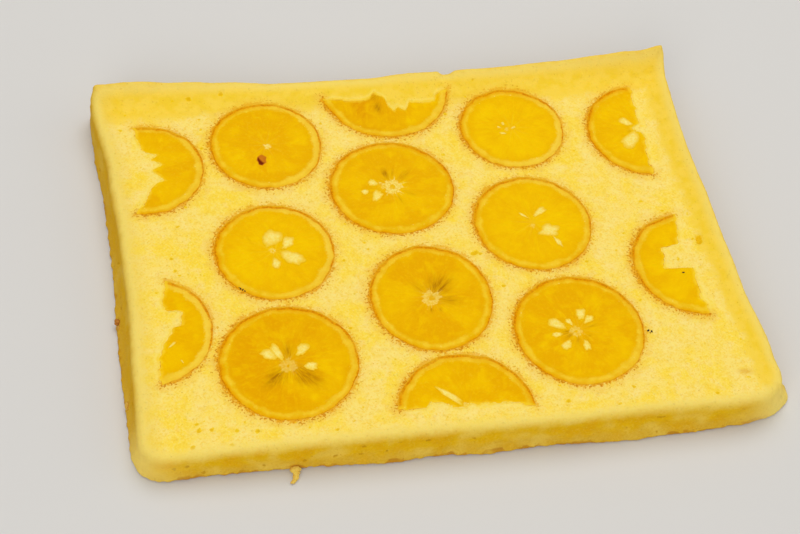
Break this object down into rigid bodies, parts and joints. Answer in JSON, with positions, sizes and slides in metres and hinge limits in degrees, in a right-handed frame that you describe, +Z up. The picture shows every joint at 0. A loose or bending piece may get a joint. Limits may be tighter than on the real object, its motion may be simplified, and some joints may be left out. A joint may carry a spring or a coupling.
{
  "type": "swiss roll sponge sheet with orange slices",
  "caption": "Flat baked sponge sheet for a swiss roll, unrolled, with whole and half orange slices set flush in its top and raised back and right rims.",
  "frame": {"origin": "centre of the bounding box's bottom face, on the flat baked underside", "axes": "+X along the sheet's length, +Y to its back edge, +Z up through its thickness"},
  "size_m": [0.3436, 0.2506, 0.0368],
  "materials": {
    "sponge": "matt pale yellow open crumb",
    "orange_slice": "moist satin orange flesh with a pale pith ring"
  },
  "bodies": {
    "root": {"sponge_sheet": "sponge", "slice_1": "orange_slice", "slice_2": "orange_slice", "slice_3": "orange_slice", "slice_4": "orange_slice", "slice_5": "orange_slice", "slice_6": "orange_slice", "slice_7": "orange_slice", "slice_8": "orange_slice", "half_slice_1": "orange_slice", "half_slice_2": "orange_slice", "half_slice_3": "orange_slice", "half_slice_4": "orange_slice", "half_slice_5": "orange_slice", "half_slice_6": "orange_slice"}
  },
  "joints": []
}
